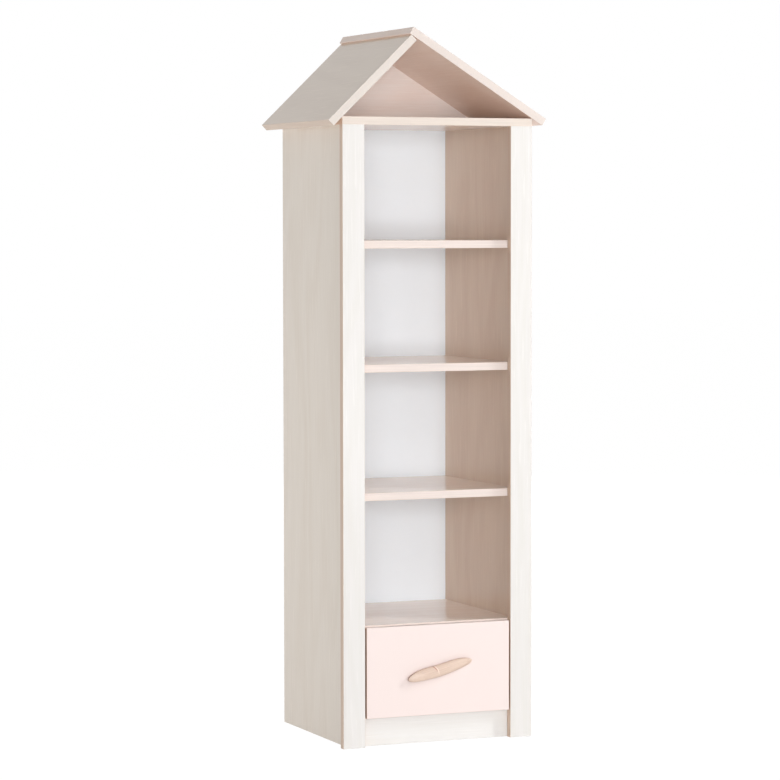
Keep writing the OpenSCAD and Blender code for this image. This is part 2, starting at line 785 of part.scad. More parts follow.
module wall_brackets() {
    placed() color(STEEL) for (x = wall_bracket_xs)
        translate([x, 0, 0]) wall_bracket();
}

module wall_bracket_screws() {
    placed() color(STEEL) for (x = wall_bracket_xs, y = foot_screw_ys)
        translate([x, y, cabinet_h + bracket_t])
            pan_screw(small_screw_d, small_screw_l, small_head_d, small_head_h);
}

// ---- Packers and runners -------------------------------------------------------------------

// Puts a piece drawn in the left runner's space, x = u and z = v, on either side
module in_runner_space(side) {
    on_side(side) translate([-packer_face, 0, runner_z]) children();
}

module runner_packer(side) {
    placed() color(WHITEWASH) on_side(side) difference() {
        board([-side_in, stile_t, bottom_top], [-packer_face, packer_rear, bottom_top + packer_h], "y");
        for (y = packer_screw_ys) {
            bore([-side_in, y, packer_screw_height], "+x", small_screw_d, packer_t + over);
            translate([-packer_face, y, packer_screw_height]) rotate([0, 90, 0])
                countersink(small_screw_d, packer_head_d, packer_head_h);
        }
        for (y = runner_screw_ys)
            bore([-packer_face, y, runner_z + rear_axle_v], "-x", small_screw_d, board_screw_grip);
    }
}

module runner_packer_left() {
    runner_packer(LEFT);
}

module runner_packer_right() {
    runner_packer(RIGHT);
}

module packer_screws() {
    placed() color(STEEL) for (side = [LEFT, RIGHT], y = packer_screw_ys)
        on_side(side) translate([-packer_face, y, packer_screw_height]) rotate([0, 90, 0])
            flat_screw(small_screw_d, packer_t + board_screw_grip, packer_head_d, packer_head_h);
}

// Cross-section of the cabinet member's web, track and lower lip
module track_section() {
    square([sheet_t, channel_h]);
    square([channel_w, sheet_t]);
    translate([channel_w - sheet_t, 0]) square([sheet_t, sheet_t + lip_h]);
}

// Cross-section of its upper flange and lip, which start behind the front roller
module upper_section() {
    translate([0, channel_h - sheet_t]) square([channel_w, sheet_t]);
    translate([channel_w - sheet_t, channel_h - sheet_t - lip_h]) square([sheet_t, sheet_t + lip_h]);
}

// Extrudes a runner section along Y between two places
module drawn(y0, y1) {
    translate([0, y1, 0]) rotate([90, 0, 0]) linear_extrude(y1 - y0) children();
}

module cabinet_runner(side) {
    roller_room = 2;
    upper_y = front_roller_y + roller_r + roller_room;
    placed() color(RUNNER_CREAM) in_runner_space(side) difference() {
        union() {
            drawn(runner_y, runner_y + runner_l) track_section();
            drawn(upper_y, runner_y + runner_l) upper_section();
            // rear end of the channel turned in as the closed stop
            block([0, runner_y + runner_l - sheet_t, 0], [channel_w, runner_y + runner_l, channel_h]);
            // tab pressed up from the track as the open stop
            block([sheet_t - eps, stop_y - sheet_t, sheet_t - eps],
                [channel_w - sheet_t, stop_y, sheet_t + stop_h]);
        }
        for (y = runner_screw_ys) {
            bore([0, y, rear_axle_v], "+x", small_screw_d, sheet_t + over);
            translate([sheet_t, y, rear_axle_v]) rotate([0, 90, 0])
                countersink(small_screw_d, runner_head_d, runner_head_h);
        }
        bore([0, front_roller_y, front_axle_v], "+x", pin_d, sheet_t + over);
    }
}

module cabinet_runner_left() {
    cabinet_runner(LEFT);
}

module cabinet_runner_right() {
    cabinet_runner(RIGHT);
}

module cabinet_runner_screws() {
    placed() color(STEEL) for (side = [LEFT, RIGHT], y = runner_screw_ys)
        in_runner_space(side) translate([sheet_t, y, rear_axle_v]) rotate([0, 90, 0])
            flat_screw(small_screw_d, board_screw_grip + sheet_t, runner_head_d, runner_head_h);
}

// A nylon roller about the X axis from x = 0, with a recess for the pin's head at its far face
module roller() {
    bore_r = pin_d / 2 + pin_clearance;
    recess_r = roller_r - roller_rim_w;
    rotate([0, 90, 0]) rotate_extrude() polygon([
        [bore_r, 0],
        [roller_r - tread_ease, 0],
        [roller_r, tread_ease],
        [roller_r, roller_w - tread_ease],
        [roller_r - tread_ease, roller_w],
        [recess_r, roller_w],
        [recess_r - recess_draft, roller_w - recess_t],
        [bore_r, roller_w - recess_t]
    ]);
}

// A riveted pin from x = 0, with a shoulder that spaces the roller and a head in its recess
module roller_pin(shoulder, tail) {
    gap = 0.2;
    shoulder_w = 1;
    head_x = shoulder + roller_w - recess_t + gap;
    rod_x([-tail, 0, 0], pin_d, tail + head_x + pin_head_t);
    rod_x([0, 0, 0], pin_d + 2 * shoulder_w, shoulder - gap);
    rod_x([head_x, 0, 0], pin_head_d, pin_head_t);
}

module front_roller(side) {
    placed() color(NYLON) in_runner_space(side)
        translate([roller_u, front_roller_y, front_axle_v]) roller();
}

module front_roller_left() {
    front_roller(LEFT);
}

module front_roller_right() {
    front_roller(RIGHT);
}

module front_roller_pins() {
    placed() color(STEEL) for (side = [LEFT, RIGHT])
        in_runner_space(side) translate([sheet_t, front_roller_y, front_axle_v])
            roller_pin(roller_side_gap, sheet_t);
}

// The rear roller faces the other way: its pin comes from the drawer member's web
module at_rear_roller(side) {
    in_runner_space(side) translate([web_u, rear_roller_y, rear_axle_v]) mirror([1, 0, 0]) children();
}

module rear_roller(side) {
    placed() color(NYLON) at_rear_roller(side)
        translate([web_u - roller_u - roller_w, 0, 0]) roller();
}

module rear_roller_left() {
    rear_roller(LEFT);
}

module rear_roller_right() {
    rear_roller(RIGHT);
}

module rear_roller_pins() {
    placed() color(STEEL) for (side = [LEFT, RIGHT])
        at_rear_roller(side) roller_pin(web_u - roller_u - roller_w, sheet_t);
}

// Cross-section of the drawer member: running flange, web and seat flange under the side
module drawer_member_section() {
    translate([flange_u, flange_v]) square([runner_space - flange_u, sheet_t]);
    translate([web_u, drawer_seat - sheet_t]) square([sheet_t, flange_v + 2 * sheet_t - drawer_seat]);
    translate([web_u, drawer_seat - sheet_t]) square([seat_flange_w + sheet_t, sheet_t]);
}

module drawer_runner(side) {
    placed() color(RUNNER_CREAM) in_runner_space(side) difference() {
        drawn(drawer_runner_y, drawer_runner_y + runner_l) drawer_member_section();
        for (y = seat_screw_ys)
            bore([web_u, y, seat_screw_v], "+x", small_screw_d, sheet_t + over);
        bore([web_u, rear_roller_y, rear_axle_v], "+x", pin_d, sheet_t + over);
    }
}

module drawer_runner_left() {
    drawer_runner(LEFT);
}

module drawer_runner_right() {
    drawer_runner(RIGHT);
}

// Screws through the drawer member's web into the drawer's side, below the drawer bottom
module drawer_runner_screws() {
    placed() color(STEEL) for (side = [LEFT, RIGHT], y = seat_screw_ys)
        in_runner_space(side) translate([web_u, y, seat_screw_v]) rotate([0, -90, 0])
            pan_screw(small_screw_d, sheet_t + seat_screw_grip, seat_head_d, seat_head_h);
}

// ---- Drawer --------------------------------------------------------------------------------

module drawer_front() {
    s = [2 * front_half, drawer_front_t, front_z1 - front_z0];
    placed() color(PINK) difference() {
        translate([-front_half, 0, front_z0]) intersection() {
            rotate([90, 0, 90]) linear_extrude(s.x) polygon(eased(s.y, s.z, edge_ease));
            translate([0, s.y, 0]) rotate([90, 0, 0])
                linear_extrude(s.y) polygon(eased(s.x, s.z, edge_ease));
            linear_extrude(s.z) polygon(eased(s.x, s.y, edge_ease));
        }
        for (side = [LEFT, RIGHT], z = drawer_dowel_zs)
            bore([side * drawer_side_x, drawer_front_t, z], "-y", drawer_dowel_d, drawer_dowel_face_depth);
        block([-drawer_in - bottom_groove, drawer_front_t - bottom_groove, bottom_z - fit_gap],
            [drawer_in + bottom_groove, drawer_front_t + over, bottom_z + drawer_bottom_t + fit_gap]);
        in_handle() for (x = post_xs)
            bore([x, 0, 0], "+y", handle_screw_d, drawer_front_t + over);
    }
}

module drawer_side(side) {
    placed() color(WHITEWASH) on_side(side) difference() {
        board([-drawer_out, drawer_front_t, drawer_z], [-drawer_in, drawer_rear, drawer_z + drawer_side_h], "y");
        block([-drawer_in - bottom_groove, drawer_front_t - over, bottom_z - fit_gap],
            [-drawer_in + over, drawer_rear + over, bottom_z + drawer_bottom_t + fit_gap]);
        for (z = drawer_dowel_zs) {
            bore([-drawer_side_x, drawer_front_t, z], "+y", drawer_dowel_d, drawer_dowel_edge_depth);
            bore([-drawer_in, drawer_back_y, z], "-x", drawer_dowel_d, drawer_dowel_face_depth);
        }
        for (y = seat_screw_ys)
            bore([-drawer_out, y, runner_z + seat_screw_v], "+x", small_screw_d, seat_screw_grip);
    }
}

module drawer_side_left() {
    drawer_side(LEFT);
}

module drawer_side_right() {
    drawer_side(RIGHT);
}

module drawer_back() {
    placed() color(WHITEWASH) difference() {
        board([-drawer_in, drawer_rear - drawer_side_t, drawer_z],
            [drawer_in, drawer_rear, drawer_z + drawer_side_h], "x");
        block([-drawer_in - over, drawer_rear - drawer_side_t - over, bottom_z - fit_gap],
            [drawer_in + over, drawer_rear - drawer_side_t + bottom_groove,
                bottom_z + drawer_bottom_t + fit_gap]);
        for (side = [LEFT, RIGHT], z = drawer_dowel_zs)
            on_side(side) bore([-drawer_in, drawer_back_y, z], "+x", drawer_dowel_d, drawer_dowel_edge_depth);
    }
}

module drawer_bottom() {
    reach = bottom_groove - bottom_play;
    placed() color(BACK_WHITE)
        block([-drawer_in - reach, drawer_front_t - reach, bottom_z],
            [drawer_in + reach, drawer_rear - drawer_side_t + reach, bottom_z + drawer_bottom_t]);
}

module drawer_dowels() {
    placed() color(RAW_WOOD) for (side = [LEFT, RIGHT], z = drawer_dowel_zs) on_side(side) {
        rod_y([-drawer_side_x, drawer_front_t - drawer_dowel_face_depth, z], drawer_dowel_d, drawer_dowel_l);
        rod_x([-drawer_in - drawer_dowel_face_depth, drawer_back_y, z], drawer_dowel_d, drawer_dowel_l);
    }
}

// ---- Handle --------------------------------------------------------------------------------

// Puts a piece drawn about the handle's middle, x along it, on the tilted drawer front
module in_handle() {
    translate([0, 0, handle_z]) rotate([0, -handle_tilt, 0]) children();
}

// One cross-section of the leaf at station t from -1 to 1: flat back, straight rim, crowned front
function leaf_ring(t) = let (
        k = sqrt(1 - pow(abs(t), handle_fullness)),
        b = handle_w / 2 * k * (1 - handle_taper * t),
        rim = handle_rim_t * (tip_rim_share + (1 - tip_rim_share) * k),
        crown = (handle_t - handle_rim_t) * k,
        x = handle_l / 2 * t,
        mid = -handle_wave * cos(wave_turn * t)
    ) concat(
        [[x, -handle_gap, mid - b]],
        [for (i = [0:ring_steps]) let (a = 180 * i / ring_steps)
            [x, -handle_gap - rim - crown * sin(a), mid - b * cos(a)]],
        [[x, -handle_gap, mid + b]]
    );

// The leaf as a loft of rings, closer together towards the tips
module leaf() {
    n = ring_steps + 3;
    step = (180 - 2 * tip_cut) / (ring_count - 1);
    stations = [for (i = [0:ring_count - 1]) -cos(tip_cut + i * step)];
    points = [for (t = stations) each leaf_ring(t)];
    sides = [for (i = [0:ring_count - 2], j = [0:n - 1]) let (k = (j + 1) % n)
        [i * n + j, i * n + k, (i + 1) * n + k, (i + 1) * n + j]];
    start = [for (j = [n - 1:-1:0]) j];
    end = [for (j = [0:n - 1]) (ring_count - 1) * n + j];
    polyhedron(points, concat(sides, [start, end]));
}

// A crescent groove from the leaf's upper edge past its middle, as deep all over its crown
module crescent() {
    difference() {
        translate([-crescent_shift - crescent_r, 0, -crescent_drop]) rotate([90, 0, 0])
            rotate([0, 0, crescent_start]) rotate_extrude(angle = crescent_sweep)
                translate([crescent_r - crescent_w / 2, handle_gap + handle_rim_t])
                    square([crescent_w, handle_t - handle_rim_t + over]);
        translate([0, crescent_depth, 0]) leaf();
    }
}

module handle() {
    placed() color(BEECH) in_handle() difference() {
        leaf();
        crescent();
        for (x = post_xs)
            bore([x, -handle_gap, 0], "-y", handle_screw_d, handle_screw_grip);
    }
}

module handle_posts() {
    placed() color(BEECH) in_handle() for (x = post_xs)
        difference() {
            rod_y([x, -handle_gap, 0], post_d, handle_gap);
            bore([x, -handle_gap, 0], "+y", handle_screw_d, handle_gap + over);
        }
}

module handle_screws() {
    shank = drawer_front_t + handle_gap + handle_screw_grip;
    placed() color(STEEL) in_handle() for (x = post_xs)
        translate([x, drawer_front_t, 0]) rotate([-90, 0, 0])
            pan_screw(handle_screw_d, shank, handle_head_d, handle_head_h);
}

side_panel_left();
side_panel_right();
front_stile_left();
front_stile_right();
top_board();
shelf_upper();
shelf_middle();
shelf_lower();
drawer_top_board();
bottom_board();
plinth_front();
plinth_rear();
back_panel();
roof_panel_left();
roof_panel_right();
gable_board();
runner_packer_left();
runner_packer_right();
packer_screws();
cabinet_runner_left();
cabinet_runner_right();
cabinet_runner_screws();
front_roller_pins();
front_roller_left();
front_roller_right();
rear_roller_left();
rear_roller_right();
rear_roller_pins();
drawer_runner_left();
drawer_runner_right();
drawer_runner_screws();
drawer_front();
drawer_side_left();
drawer_side_right();
drawer_back();
drawer_bottom();
drawer_dowels();
handle();
handle_posts();
handle_screws();
cam_fittings();
cam_bolts();
stile_dowels();
plinth_dowels();
roof_dowels();
top_board_screws();
roof_brackets();
roof_bracket_screws();
wall_brackets();
wall_bracket_screws();
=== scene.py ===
"""Looks of a house-shaped bookcase: whitewashed melamine, a pink drawer front and a leaf handle."""
import math

import bmesh
import bpy
from mathutils import Matrix, Vector


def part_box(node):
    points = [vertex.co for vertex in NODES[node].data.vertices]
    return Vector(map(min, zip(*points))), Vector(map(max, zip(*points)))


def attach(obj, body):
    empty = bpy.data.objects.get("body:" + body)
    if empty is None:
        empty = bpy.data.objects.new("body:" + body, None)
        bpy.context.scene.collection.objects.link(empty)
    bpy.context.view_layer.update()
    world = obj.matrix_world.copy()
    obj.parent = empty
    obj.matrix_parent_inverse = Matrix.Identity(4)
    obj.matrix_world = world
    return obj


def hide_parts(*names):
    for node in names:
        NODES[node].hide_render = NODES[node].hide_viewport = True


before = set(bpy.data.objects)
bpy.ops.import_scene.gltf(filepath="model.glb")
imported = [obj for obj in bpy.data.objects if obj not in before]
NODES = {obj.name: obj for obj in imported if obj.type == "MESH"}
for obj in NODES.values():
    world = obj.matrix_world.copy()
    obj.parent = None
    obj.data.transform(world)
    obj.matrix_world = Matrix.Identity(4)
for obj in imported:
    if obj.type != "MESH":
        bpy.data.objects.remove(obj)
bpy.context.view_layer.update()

# ---- Colours -----------------------------------------------------------------------------------


def srgb(r, g, b):
    """A linear RGBA colour from 0 to 255 sRGB values."""
    def linear(v):
        v /= 255
        return v / 12.92 if v <= 0.04045 else ((v + 0.055) / 1.055) ** 2.4
    return (linear(r), linear(g), linear(b), 1.0)


def scaled(color, factor):
    """A colour made darker or lighter, and never above 1."""
    return [min(1.0, c * factor) for c in color[:3]] + [1.0]


# Light and dark grain tones. The carcass boards are one whitewashed melamine whose tones differ
# by group as painted light and shade: the first pair is darkened as painted shade for the inner
# walls, and the next five are lighter copies, painted light on the shelf tops, the outer sides,
# the gable and the roofs. The stiles, plinth, leaf and dowels have tones of their own.
SHADED_WASH = srgb(223, 201, 181), srgb(215, 189, 169)
LIT_SHELF = srgb(254, 239, 229), srgb(248, 229, 217)
SIDE = srgb(242, 232, 220), srgb(236, 224, 210)
GABLE = srgb(236, 225, 219), srgb(231, 214, 205)
LEFT_ROOF = srgb(236, 217, 198), srgb(229, 209, 190)
RIGHT_ROOF = srgb(246, 225, 212), srgb(239, 214, 199)
STILE = srgb(226, 222, 219), srgb(222, 218, 213)
PLINTH = srgb(229, 226, 223), srgb(226, 222, 217)
LEAF = srgb(224, 200, 183), srgb(201, 172, 155)
BEECH = srgb(214, 182, 140), srgb(196, 160, 116)

# Banded edges
BAND = srgb(220, 206, 199)
TOP_BAND = srgb(215, 202, 191)
BOARD_BAND = srgb(236, 220, 212)
LEFT_ROOF_BAND = srgb(213, 204, 197)
RIGHT_ROOF_BAND = srgb(216, 205, 198)
# The stiles' narrow faces: partly real banding, partly painted shade, browner because these faces
# turn from the light.
STILE_BAND_SHADE = srgb(216, 186, 162)
# The top board's ends: real banding, painted browner as painted shade under the eaves.
END_BAND_SHADE = srgb(226, 190, 164)
# The eaves' end faces, which look down and out: real banding, painted browner as painted shade.
EAVE_BAND_SHADE = srgb(220, 194, 172)

# Lacquers and raw boards
BACK_WHITE, BACK_WHITE_MOTTLE = srgb(242, 249, 255), srgb(234, 240, 244)
HARDBOARD, HARDBOARD_FLECK = srgb(150, 112, 78), srgb(176, 138, 100)
CHIPBOARD, CHIPBOARD_CHIP = srgb(196, 164, 122), srgb(226, 204, 168)
# The drawer front's pink, and its brown side edges: partly raw board, partly painted shade
# darkening the gaps beside the stiles.
PINK, PINK_EDGE_SHADE = srgb(235, 219, 214), srgb(186, 152, 130)

# Places on the leaf handle
# The rim, painted shade: darker where it turns from the front, darkest at the left tip.
LEAF_RIM = srgb(219, 188, 172)
TIP_RIM = srgb(104, 62, 48)
# The groove's painted shade, and the painted highlight on the lip beside it.
GROOVE_SHADE = srgb(192, 146, 128)
LIP_HIGHLIGHT = srgb(250, 230, 216)

# Fittings
ZINC = srgb(196, 198, 202)
CAST_ZINC = srgb(168, 168, 168)
RUNNER, RUNNER_SCUFF = srgb(226, 222, 214), srgb(176, 174, 170)
NYLON, NYLON_CLOUD = srgb(238, 238, 234), srgb(222, 220, 212)

# Floor and world
FLOOR, FLOOR_CLOUD = srgb(240, 238, 236), srgb(236, 234, 232)
WHITE = (1, 1, 1, 1)
AMBIENT = (1.0, 0.99, 0.98, 1)

# ---- Node helpers ------------------------------------------------------------------------------


class Shader:
    """A material's node tree, built one node at a time."""

    def __init__(self, name):
        self.mat = bpy.data.materials.new(name)
        self.mat.use_nodes = True
        self.tree = self.mat.node_tree
        self.tree.nodes.clear()
        self.out = self.tree.nodes.new("ShaderNodeOutputMaterial")
        self.coords = self.add("ShaderNodeTexCoord").outputs

    def add(self, kind, inputs=None, **settings):
        """Adds a node: settings are its properties, inputs its values or sockets."""
        node = self.tree.nodes.new(kind)
        for key, value in settings.items():
            setattr(node, key, value)
        for key, value in (inputs or {}).items():
            if isinstance(value, bpy.types.NodeSocket):
                self.tree.links.new(value, node.inputs[key])
            else:
                node.inputs[key].default_value = value
        return node

    def math(self, operation, a, b=0.0, clamp=False):
        node = self.add("ShaderNodeMath", {0: a, 1: b}, operation=operation, use_clamp=clamp)
        return node.outputs[0]

    def vector(self, operation, a, b):
        return self.add("ShaderNodeVectorMath", {0: a, 1: b}, operation=operation).outputs[0]

    def split(self, vector):
        """The X, Y and Z of a vector."""
        return self.add("ShaderNodeSeparateXYZ", {0: vector}).outputs

    def mix(self, factor, a, b):
        """Colour a where factor is 0, and b where it is 1."""
        return self.add("ShaderNodeMix", {0: factor, 6: a, 7: b}, data_type="RGBA").outputs[2]

    def noise(self, vector, scale=1.0, detail=2.0, rough=0.5):
        return self.add("ShaderNodeTexNoise", {
            "Vector": vector, "Scale": scale, "Detail": detail, "Roughness": rough}).outputs[0]

    def stretched_noise(self, vector, cycles, detail=2.0, rough=0.5):
        """Noise with its own number of cycles per metre along each axis."""
        return self.noise(self.vector("MULTIPLY", vector, cycles), 1.0, detail, rough)

    def ramp(self, value, low, high):
        """0 below low, 1 above high and smooth between."""
        node = self.add("ShaderNodeMapRange", {"Value": value, "From Min": low, "From Max": high})
        node.interpolation_type = "SMOOTHSTEP"
        return node.outputs[0]

    def band(self, value, low, high):
        """1 below low, 0 above high and smooth between."""
        return self.math("SUBTRACT", 1.0, self.ramp(value, low, high))

    def vary(self, base, spread, value):
        """A number that grows from base by up to spread, as value goes from 0 to 1."""
        return self.math("ADD", base, self.math("MULTIPLY", value, spread))

    def surface(self, color, rough, bump, bump_mm, **plain):
        """A Principled surface. bump is a height of 0 to 1, bump_mm its real depth."""
        normal = self.add("ShaderNodeBump", {
            "Height": bump, "Strength": 1.0, "Distance": bump_mm / 1000}).outputs[0]
        inputs = {"Base Color": color, "Roughness": rough, "Normal": normal}
        for key, value in plain.items():
            inputs[key.replace("_", " ")] = value
        shader = self.add("ShaderNodeBsdfPrincipled", inputs)
        self.tree.links.new(shader.outputs[0], self.out.inputs[0])
        return self.mat


SEED_STEP = (0.37, 0.21, 0.83)
GRAIN_ORDER = {"x": (1, 2, 0), "y": (2, 0, 1), "z": (0, 1, 2)}


def grain_space(s, along, seed, tilt=0.0):
    """Coordinates in metres with the grain along Z, shifted by seed so that boards differ."""
    turned = s.add("ShaderNodeMapping", {
        "Vector": s.coords["Object"], "Rotation": (0, tilt, 0)}).outputs[0]
    parts = s.split(turned)
    places = {i: parts[k] for i, k in enumerate(GRAIN_ORDER[along])}
    joined = s.add("ShaderNodeCombineXYZ", places).outputs[0]
    return s.vector("ADD", joined, tuple(step * seed for step in SEED_STEP))


# How far a normal leans to an axis where a face begins and is fully counted
STRAIGHT = (0.6, 0.8)
SLANTED = (0.4, 0.5)


def facing(s, axis, limits=STRAIGHT):
    """1 on faces that look along a signed axis, such as -y, by the mesh's own normals."""
    part = s.split(s.coords["Normal"])["xyz".index(axis[1])]
    sign = 1.0 if axis[0] == "+" else -1.0
    return s.ramp(s.math("MULTIPLY", part, sign), *limits)


def edge_mask(s, faces):
    """1 on the edge that looks along one signed axis, or along two if it slants."""
    if len(faces) == 1:
        return facing(s, faces[0])
    return s.math("MULTIPLY", facing(s, faces[0], SLANTED), facing(s, faces[1], SLANTED))


# ---- Wood --------------------------------------------------------------------------------------

# Cycles per metre: twice across the grain, and along it
BAND_CYCLES = (11, 11, 0.55)
WARP_CYCLES = (3.5, 3.5, 0.9)
FIBRE_CYCLES = (340, 340, 5.5)
PORE_CYCLES = (230, 230, 13)
RINGS_PER_METRE, RING_WARP = 26.0, 9.0
RING_SHARE, BAND_SHARE = 0.3, 0.7
PORE_LIMITS = (0.60, 0.74)

# A turn in radians. It stays rounded, because it sets where the rings lie on each board.
TURN = 6.283


def wood_figure(s, p):
    """Grain figure in grain space: (broad bands, fibres, pores), each 0 to 1."""
    bands = s.stretched_noise(p, BAND_CYCLES, detail=3.0, rough=0.55)
    warp = s.stretched_noise(p, WARP_CYCLES)
    across = s.math("MULTIPLY", s.split(p)[0], RINGS_PER_METRE)
    turns = s.math("ADD", across, s.math("MULTIPLY", warp, RING_WARP))
    wave = s.math("SINE", s.math("MULTIPLY", turns, TURN))
    rings = s.math("MULTIPLY", s.math("ADD", wave, 1.0), 0.5)
    broad = s.math("ADD", s.math("MULTIPLY", bands, BAND_SHARE),
                   s.math("MULTIPLY", rings, RING_SHARE))
    fibres = s.stretched_noise(p, FIBRE_CYCLES, detail=3.0, rough=0.65)
    pores = s.ramp(s.stretched_noise(p, PORE_CYCLES, detail=1.0, rough=0.4), *PORE_LIMITS)
    return broad, fibres, pores


# How much of the dark tone the bands and the fibres bring
BROAD_LIMITS, BROAD_TONE = (0.3, 0.75), 0.55
FIBRE_LIMITS, FIBRE_TONE = (0.35, 0.7), 0.45
PORE_GAIN, PORE_TONE = 1.06, 0.5


def wood_color(s, figure, tones, contrast=1.0):
    """Light wood with darker bands and fibres, and pores a little paler than both."""
    light, dark = tones
    broad, fibres, pores = figure
    tone = s.math("ADD", s.math("MULTIPLY", s.ramp(broad, *BROAD_LIMITS), BROAD_TONE * contrast),
                  s.math("MULTIPLY", s.ramp(fibres, *FIBRE_LIMITS), FIBRE_TONE * contrast),
                  clamp=True)
    wood = s.mix(tone, light, dark)
    return s.mix(s.math("MULTIPLY", pores, PORE_TONE), wood, scaled(light, PORE_GAIN))


PLAIN_CONTRAST, PLAIN_ROUGH, PLAIN_BUMP_MM = 1.3, 0.55, 0.1


def plain_wood(name, tones, along, seed, scale):
    """Unprinted solid wood with fine fibres, its figure scale times finer than a board's."""
    s = Shader(name)
    p = s.vector("MULTIPLY", grain_space(s, along, seed), (scale, scale, scale))
    figure = wood_figure(s, p)
    color = wood_color(s, figure, tones, PLAIN_CONTRAST)
    return s.surface(color, PLAIN_ROUGH, figure[1], PLAIN_BUMP_MM)


# ---- Boards and lacquers -----------------------------------------------------------------------

CHIPS_PER_METRE, CHIP_LIMITS = 520.0, (0.1, 0.95)
STREAK_LIMITS, STREAK_SHARE = (0.3, 0.75), 0.25
MELAMINE_ROUGH, MELAMINE_ROUGH_SPREAD, DULL_ROUGH = 0.13, 0.08, 0.32
MELAMINE_PORE_DEPTH, MELAMINE_BUMP_MM, MELAMINE_SPECULAR = 0.6, 0.02, 0.35


def chipboard(s):
    """Colour of a raw edge: pressed wood chips."""
    chips = s.add("ShaderNodeTexVoronoi", {
        "Vector": s.coords["Object"], "Scale": CHIPS_PER_METRE}).outputs["Color"]
    shade = s.add("ShaderNodeSeparateColor", {0: chips}).outputs[0]
    return s.mix(s.ramp(shade, *CHIP_LIMITS), CHIPBOARD, CHIPBOARD_CHIP)


def melamine(name, along, seed, tones=SHADED_WASH, bands=(), raw=(), lit_outer=None, tilt=0.0, dull=None):
    """Printed wood-grain melamine.

    bands lists (faces, colour) of banded edges, where faces is one signed axis, or two for a
    slanting edge. raw lists the axes of raw edges. A face that looks along the outer axis takes
    the lighter side tones, painted light on a side panel's outside, while its inside keeps the
    darker tones as painted shade. One that looks along dull is rougher. tilt turns the grain
    into a sloping panel.
    """
    s = Shader(name)
    figure = wood_figure(s, grain_space(s, along, seed, tilt))
    fibres, pores = figure[1:]
    color = wood_color(s, figure, tones)
    # Painted light: faces along the outer axis take the lighter side tones.
    if lit_outer:
        color = s.mix(facing(s, lit_outer), color, wood_color(s, figure, SIDE))
    for faces, band in bands:
        streaks = s.math("MULTIPLY", s.ramp(fibres, *STREAK_LIMITS), STREAK_SHARE)
        color = s.mix(edge_mask(s, faces), color, s.mix(streaks, band, tones[0]))
    for axis in raw:
        color = s.mix(facing(s, axis), color, chipboard(s))
    rough = s.vary(MELAMINE_ROUGH, MELAMINE_ROUGH_SPREAD, fibres)
    if dull:
        rough = s.vary(rough, DULL_ROUGH, facing(s, dull))
    height = s.math("SUBTRACT", fibres, s.math("MULTIPLY", pores, MELAMINE_PORE_DEPTH))
    return s.surface(color, rough, height, MELAMINE_BUMP_MM, Specular_IOR_Level=MELAMINE_SPECULAR)


# Hardboard: the lacquer's mottle on its face, and flecks and a pressed weave on its rear
MOTTLE_SCALE, MOTTLE_SHARE = 30.0, 0.2
FLECK_SCALE, FLECK_LIMITS, FLECK_HEIGHT = 700.0, (0.3, 0.7), 0.3
WEAVE_SCALE, WEAVE_HEIGHT = 900.0, 0.5
HARDBOARD_ROUGH, REAR_ROUGH, HARDBOARD_BUMP_MM = 0.38, 0.45, 0.08


def hardboard(name, seed):
    """White lacquered hardboard, brown and screen-pressed on its rear face."""
    s = Shader(name)
    place = s.coords["Object"]
    mottle = s.noise(place, MOTTLE_SCALE + seed, detail=4.0, rough=0.6)
    white = s.mix(s.math("MULTIPLY", mottle, MOTTLE_SHARE), BACK_WHITE, BACK_WHITE_MOTTLE)
    flecks = s.noise(place, FLECK_SCALE, detail=4.0, rough=0.7)
    brown = s.mix(s.ramp(flecks, *FLECK_LIMITS), HARDBOARD, HARDBOARD_FLECK)
    rear = facing(s, "+y")
    weave = s.add("ShaderNodeTexChecker", {"Vector": place, "Scale": WEAVE_SCALE}).outputs[1]
    height = s.math("ADD", s.math("MULTIPLY", s.math("MULTIPLY", weave, rear), WEAVE_HEIGHT),
                    s.math("MULTIPLY", flecks, FLECK_HEIGHT))
    rough = s.vary(HARDBOARD_ROUGH, REAR_ROUGH, rear)
    return s.surface(s.mix(rear, white, brown), rough, height, HARDBOARD_BUMP_MM)


SLOW_SCALE, SLOW_SHARE, SLOW_GAIN = 6.0, 0.5, 0.97
LACQUER_PEEL_SCALE = 420.0
LACQUER_ROUGH, LACQUER_ROUGH_SPREAD, LACQUER_BUMP_MM = 0.32, 0.08, 0.03


def lacquer(name, color, edge):
    """Sprayed satin lacquer with a faint orange peel, slow tone changes and brown side edges,
    partly painted shade.
    """
    s = Shader(name)
    slow = s.noise(s.coords["Object"], SLOW_SCALE)
    peel = s.noise(s.coords["Object"], LACQUER_PEEL_SCALE)
    tint = s.mix(s.math("MULTIPLY", slow, SLOW_SHARE), color, scaled(color, SLOW_GAIN))
    # Painted shade: the brown side edges darken the gaps beside the drawer front.
    for axis in ("-x", "+x"):
        tint = s.mix(facing(s, axis), tint, edge)
    rough = s.vary(LACQUER_ROUGH, LACQUER_ROUGH_SPREAD, slow)
    return s.surface(tint, rough, peel, LACQUER_BUMP_MM)


# ---- Metal and nylon ---------------------------------------------------------------------------

SPANGLE_SCALE, SPANGLE_LIMITS, SPANGLE_GAIN = 160.0, (0.3, 0.7), 0.8
SCRATCH_CYCLES = (90, 1400, 90)
ZINC_ROUGH, CAST_ROUGH, METAL_ROUGH_SPREAD, METAL_BUMP_MM = 0.35, 0.45, 0.2, 0.02


